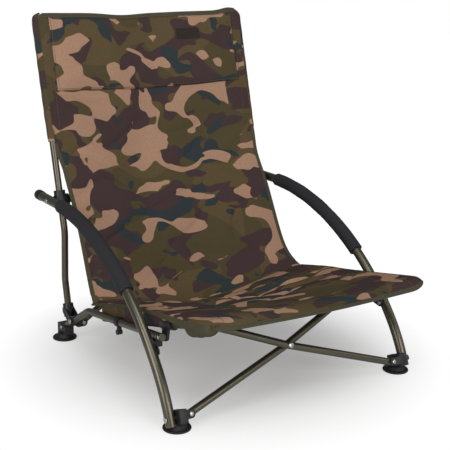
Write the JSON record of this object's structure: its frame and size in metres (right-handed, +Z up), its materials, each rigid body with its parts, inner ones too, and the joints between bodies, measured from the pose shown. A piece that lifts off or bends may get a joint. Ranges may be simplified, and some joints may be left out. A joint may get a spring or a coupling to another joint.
{
  "type": "folding camp chair",
  "caption": "Low folding carp fishing chair with a camouflage cloth seat and back, foam arm grips, bent tube frame and round mud feet.",
  "frame": {"origin": "on the floor, under the middle of the chair's bounding box", "axes": "+X to the right as seen by a viewer who faces the chair's front, +Y from the front feet to the back, +Z up"},
  "size_m": [0.64, 0.7954, 0.7689],
  "materials": {
    "frame_coat": "satin olive bronze",
    "black_plastic": "matte black",
    "foam_grip": "fine open foam",
    "bright_steel": "bright",
    "camo_cloth": "woven, printed with a four-colour camouflage",
    "olive_webbing": "woven tape"
  },
  "bodies": {
    "left_back_frame": {"left_back_upright": "frame_coat", "left_upright_end_cap": "black_plastic", "left_upright_collar": "black_plastic", "left_collar_pin": "bright_steel", "back_sling": "camo_cloth", "headrest_panel": "camo_cloth"},
    "left_hub": {"left_arm_hub": "black_plastic", "left_arm_pivot_pin": "bright_steel"},
    "left_arm": {"left_front_leg_arm": "frame_coat", "left_arm_foam": "foam_grip", "left_arm_end_cap": "black_plastic", "left_leg_bracket": "black_plastic", "left_leg_bracket_rivet": "bright_steel"},
    "left_foot": {"left_front_foot": "black_plastic", "left_front_foot_pin": "bright_steel", "left_front_cross_pin": "bright_steel"},
    "left_side_leg": {"left_rear_leg": "frame_coat", "left_rear_foot": "black_plastic", "left_rear_foot_rivet": "bright_steel", "left_rail_clip": "black_plastic"},
    "left_seat_frame": {"left_seat_rail": "frame_coat", "left_rail_end_plug": "bright_steel", "left_corner_hub": "black_plastic", "left_corner_hub_pin": "bright_steel", "left_seat_pocket": "olive_webbing", "seat_sling": "camo_cloth"},
    "left_clevis": {"left_rear_clevis": "black_plastic", "left_rear_cross_pin": "bright_steel"},
    "right_back_frame": {"right_back_upright": "frame_coat", "right_upright_end_cap": "black_plastic", "right_upright_collar": "black_plastic", "right_collar_pin": "bright_steel"},
    "right_hub": {"right_arm_hub": "black_plastic", "right_arm_pivot_pin": "bright_steel"},
    "right_arm": {"right_front_leg_arm": "frame_coat", "right_arm_foam": "foam_grip", "right_arm_end_cap": "black_plastic", "right_leg_bracket": "black_plastic", "right_leg_bracket_rivet": "bright_steel"},
    "right_foot": {"right_front_foot": "black_plastic", "right_front_foot_pin": "bright_steel", "right_front_cross_pin": "bright_steel"},
    "right_side_leg": {"right_rear_leg": "frame_coat", "right_rear_foot": "black_plastic", "right_rear_foot_rivet": "bright_steel", "right_rail_clip": "black_plastic"},
    "right_seat_frame": {"right_seat_rail": "frame_coat", "right_rail_end_plug": "bright_steel", "right_corner_hub": "black_plastic", "right_corner_hub_pin": "bright_steel", "right_seat_pocket": "olive_webbing"},
    "right_clevis": {"right_rear_clevis": "black_plastic", "right_rear_cross_pin": "bright_steel"},
    "front_cross_a": {"front_cross_tube_a": "frame_coat", "front_cross_rivet": "bright_steel"},
    "front_cross_b": {"front_cross_tube_b": "frame_coat"},
    "rear_cross_a": {"rear_cross_tube_a": "frame_coat", "rear_cross_rivet": "bright_steel"},
    "rear_cross_b": {"rear_cross_tube_b": "frame_coat"}
  },
  "joints": [
    {"name": "left_hub_slide", "type": "slide", "parent": "left_back_frame", "child": "left_hub", "axis": [0, 0.2687, 0.9632], "range_m": [0, 0.2562]},
    {"name": "left_arm_pivot", "type": "hinge", "parent": "left_hub", "child": "left_arm", "pos_m": [-0.304, 0.27425, 0.34295], "axis": [1, 0, 0], "range_deg": [0, 37.66]},
    {"name": "left_front_foot_pivot", "type": "hinge", "parent": "left_arm", "child": "left_foot", "pos_m": [-0.304, -0.30239, 0.027], "axis": [1, 0, 0], "range_deg": [-11.68, 0]},
    {"name": "front_cross_fold", "type": "hinge", "parent": "left_foot", "child": "front_cross_a", "pos_m": [-0.258, -0.30239, 0.027], "axis": [0, -0.9136, 0.4066], "range_deg": [0, 50], "deforming": ["seat_sling", "back_sling", "headrest_panel"]},
    {"name": "front_cross_scissor", "type": "hinge", "parent": "front_cross_a", "child": "front_cross_b", "pos_m": [0, -0.26677, 0.10703], "axis": [0, -0.9136, 0.4066], "range_deg": [-100.05, 0]},
    {"name": "right_front_cross_pivot", "type": "hinge", "parent": "front_cross_b", "child": "right_foot", "pos_m": [0.258, -0.30239, 0.027], "axis": [0, -0.9136, 0.4066], "range_deg": [0, 50.05]},
    {"name": "right_front_foot_pivot", "type": "hinge", "parent": "right_foot", "child": "right_arm", "pos_m": [0.304, -0.30239, 0.027], "axis": [1, 0, 0], "range_deg": [0, 11.68]},
    {"name": "right_arm_pivot", "type": "hinge", "parent": "right_arm", "child": "right_hub", "pos_m": [0.304, 0.27425, 0.34295], "axis": [1, 0, 0], "range_deg": [-37.66, 0]},
    {"name": "right_hub_slide", "type": "slide", "parent": "right_hub", "child": "right_back_frame", "axis": [0, 0.2687, 0.9632], "range_m": [-0.2562, 0]},
    {"name": "left_collar_pivot", "type": "hinge", "parent": "left_back_frame", "child": "left_side_leg", "pos_m": [-0.279, 0.21061, 0.059], "axis": [1, 0, 0], "range_deg": [-53.05, 0]},
    {"name": "left_corner_pivot", "type": "hinge", "parent": "left_side_leg", "child": "left_seat_frame", "pos_m": [-0.279, -0.21739, 0.165], "axis": [1, 0, 0], "range_deg": [-20.05, 0]},
    {"name": "right_collar_pivot", "type": "hinge", "parent": "right_back_frame", "child": "right_side_leg", "pos_m": [0.279, 0.21061, 0.059], "axis": [1, 0, 0], "range_deg": [-53.05, 0]},
    {"name": "right_corner_pivot", "type": "hinge", "parent": "right_side_leg", "child": "right_seat_frame", "pos_m": [0.279, -0.21739, 0.165], "axis": [1, 0, 0], "range_deg": [-20.05, 0]},
    {"name": "left_clevis_tilt", "type": "hinge", "parent": "left_back_frame", "child": "left_clevis", "pos_m": [-0.262, 0.23861, 0.044], "axis": [1, 0, 0], "range_deg": [-4.09, 0]},
    {"name": "rear_cross_left_pivot", "type": "hinge", "parent": "left_clevis", "child": "rear_cross_a", "pos_m": [-0.25, 0.23861, 0.044], "axis": [0, -0.9929, 0.1188], "range_deg": [0, 40.95]},
    {"name": "rear_cross_scissor", "type": "hinge", "parent": "rear_cross_a", "child": "rear_cross_b", "pos_m": [0, 0.25643, 0.193], "axis": [0, -0.9929, 0.1188], "range_deg": [-81.84, 0]},
    {"name": "rear_cross_right_pivot", "type": "hinge", "parent": "rear_cross_b", "child": "right_clevis", "pos_m": [0.25, 0.23861, 0.044], "axis": [0, -0.9929, 0.1188], "range_deg": [0, 40.95]}
  ],
  "couplings": [
    {"joint": "left_hub_slide", "follows": "front_cross_fold", "m_per_rad": 0.29301},
    {"joint": "left_arm_pivot", "follows": "front_cross_fold", "ratio": 0.75226},
    {"joint": "left_front_foot_pivot", "follows": "front_cross_fold", "ratio": -0.23253},
    {"joint": "front_cross_scissor", "follows": "front_cross_fold", "ratio": -2},
    {"joint": "right_front_cross_pivot", "follows": "front_cross_fold", "ratio": 1},
    {"joint": "right_front_foot_pivot", "follows": "front_cross_fold", "ratio": 0.23253},
    {"joint": "right_arm_pivot", "follows": "front_cross_fold", "ratio": -0.75226},
    {"joint": "right_hub_slide", "follows": "front_cross_fold", "m_per_rad": -0.29301},
    {"joint": "left_collar_pivot", "follows": "front_cross_fold", "ratio": -1.06},
    {"joint": "left_corner_pivot", "follows": "front_cross_fold", "ratio": -0.4},
    {"joint": "right_collar_pivot", "follows": "front_cross_fold", "ratio": -1.06},
    {"joint": "right_corner_pivot", "follows": "front_cross_fold", "ratio": -0.4},
    {"joint": "left_clevis_tilt", "follows": "front_cross_fold", "ratio": -0.080703},
    {"joint": "rear_cross_left_pivot", "follows": "front_cross_fold", "ratio": 0.81792},
    {"joint": "rear_cross_scissor", "follows": "front_cross_fold", "ratio": -1.6358},
    {"joint": "rear_cross_right_pivot", "follows": "front_cross_fold", "ratio": 0.81792}
  ]
}
